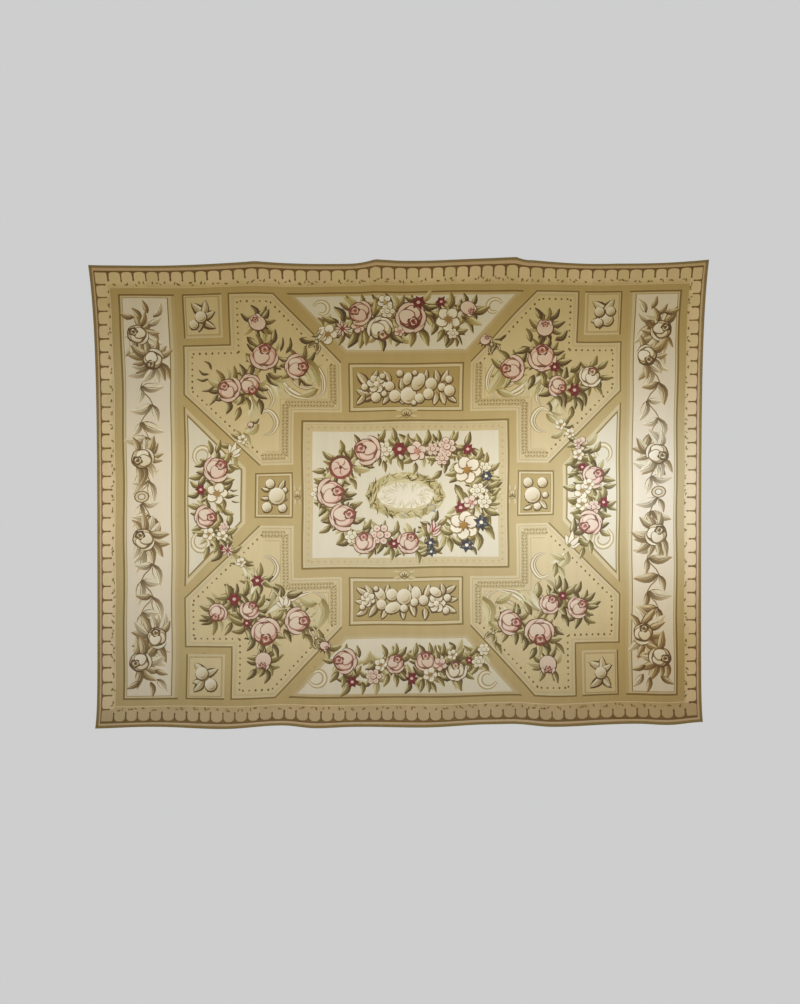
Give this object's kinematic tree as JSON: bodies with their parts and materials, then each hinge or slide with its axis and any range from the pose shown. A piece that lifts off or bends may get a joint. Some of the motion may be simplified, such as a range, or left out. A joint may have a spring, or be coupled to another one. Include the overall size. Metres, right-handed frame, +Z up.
{
  "type": "woven wall tapestry",
  "caption": "Wide flat-woven wool wall tapestry with compartments, flower garlands and a bound edge, hung from its top edge with soft folds.",
  "frame": {"origin": "middle of the top edge, on the plane of the wall behind the cloth", "axes": "+X to the right as the viewer faces the front, +Y into the wall, +Z up"},
  "size_m": [2.458, 0.0257, 1.8671],
  "materials": {
    "tapestry_wool": "matt flat-woven wool",
    "binding_tape": "matt woven tape"
  },
  "bodies": {
    "root": {"tapestry": "tapestry_wool", "binding_top": "binding_tape", "binding_hem": "binding_tape", "binding_left": "binding_tape", "binding_right": "binding_tape"}
  },
  "joints": []
}
